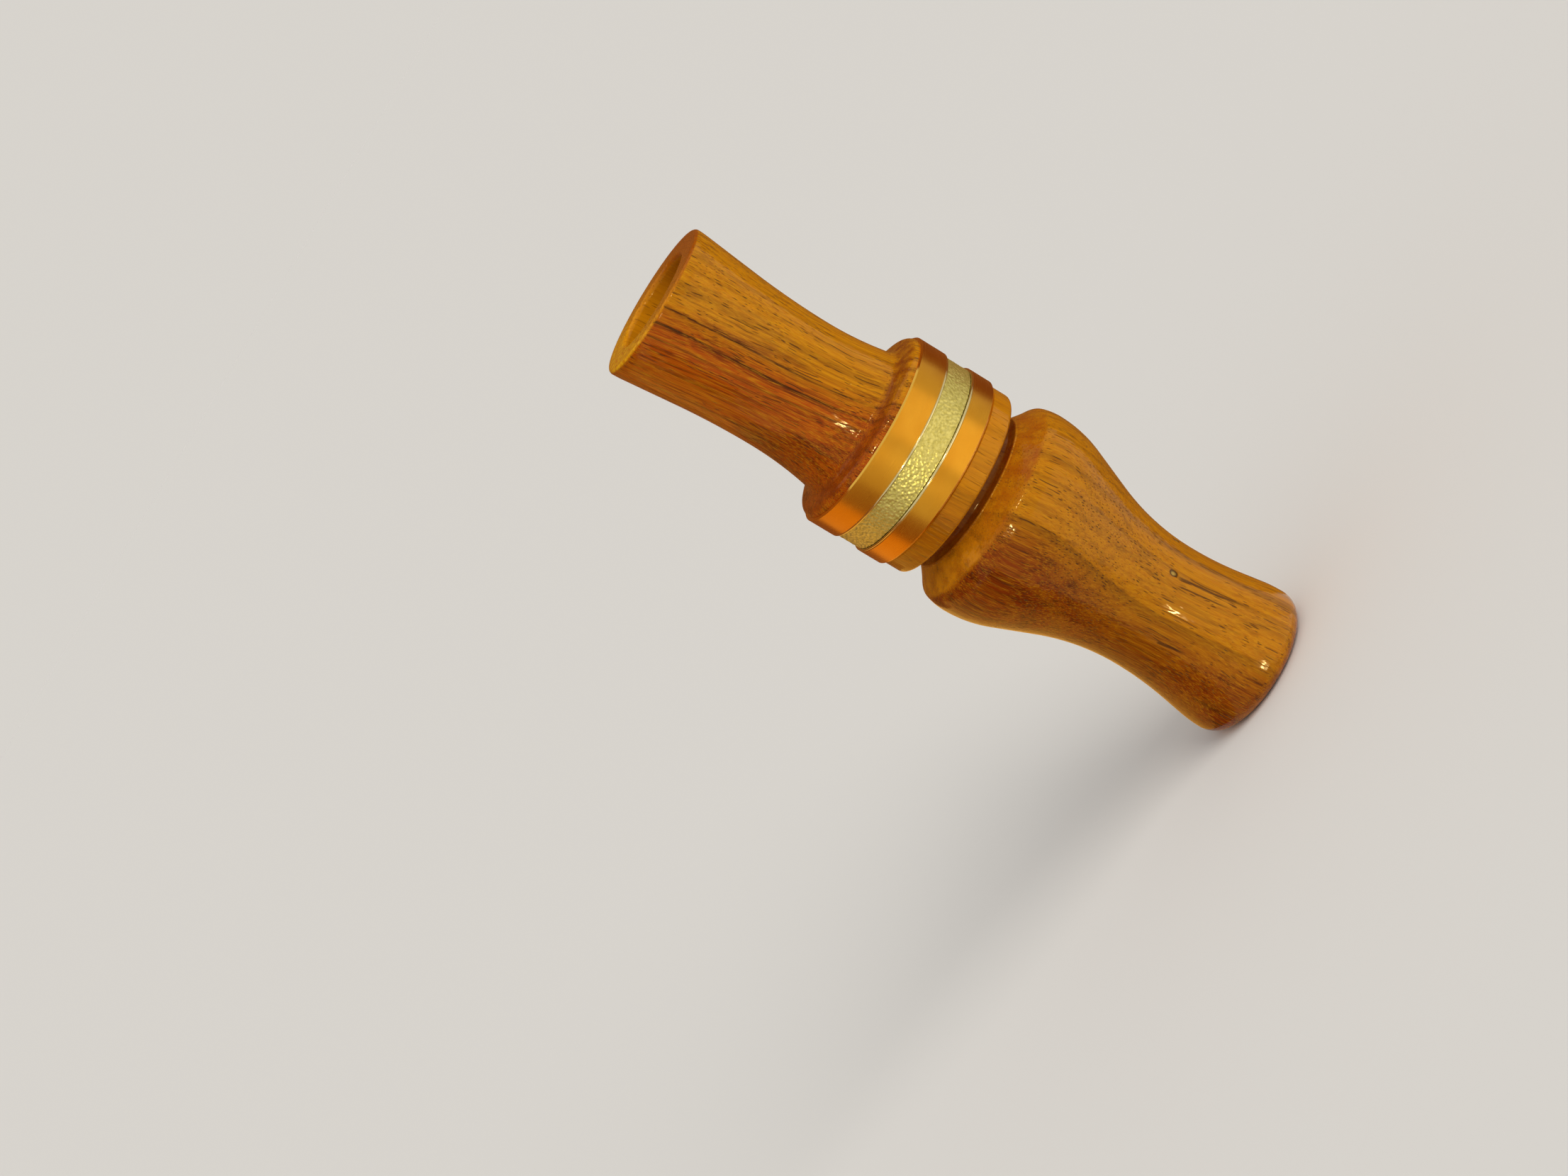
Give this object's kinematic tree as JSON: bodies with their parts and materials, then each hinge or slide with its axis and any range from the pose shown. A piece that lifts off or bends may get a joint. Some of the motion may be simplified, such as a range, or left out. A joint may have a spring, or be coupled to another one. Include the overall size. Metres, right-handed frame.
{
  "type": "predator call",
  "caption": "Lathe-turned wooden closed-reed predator call: banded barrel over a belled insert with sealing rings, toneboard, reed and wedge.",
  "frame": {"origin": "centre of the flat ring at the bell end, on which the call stands", "axes": "+Z along the call's axis from the bell end to the mouth; the reed lies on the +Y side of the toneboard"},
  "size_m": [0.034, 0.034, 0.11],
  "materials": {
    "barrel_wood": "gloss lacquer over straight-grained brown hardwood",
    "insert_wood": "gloss lacquer over straight-grained brown hardwood",
    "band_metal": "satin gold-coloured ring with polished bevels",
    "inlay_metal": "silver strip with a fine stippled face",
    "toneboard_plastic": "moulded black plastic",
    "reed_film": "translucent film",
    "wedge_cork": "cut cork",
    "seal_rubber": "black nitrile rubber"
  },
  "bodies": {
    "insert": {"insert": "insert_wood", "toneboard": "toneboard_plastic"},
    "seals": {"o_ring_front": "seal_rubber", "o_ring_rear": "seal_rubber"},
    "barrel": {"barrel": "barrel_wood", "call_band": "band_metal", "band_inlay": "inlay_metal"},
    "reed": {"reed": "reed_film"},
    "wedge": {"reed_wedge": "wedge_cork"}
  },
  "joints": [
    {"name": "barrel_twist", "type": "hinge", "parent": "insert", "child": "seals", "pos_m": [0, 0, 0.068], "axis": [0, 0, 1], "continuous": true},
    {"name": "barrel_pull", "type": "slide", "parent": "seals", "child": "barrel", "axis": [0, 0, 1], "range_m": [0, 0.045]},
    {"name": "reed_flex", "type": "hinge", "parent": "insert", "child": "reed", "pos_m": [0, 0.0006, 0.086], "axis": [1, 0, 0], "range_deg": [0, 2.2], "stiffness_Nm_per_rad": 0.03, "deforming": ["reed"]},
    {"name": "wedge_pull", "type": "slide", "parent": "insert", "child": "wedge", "axis": [0, 0, 1], "range_m": [0, 0.0095]}
  ]
}
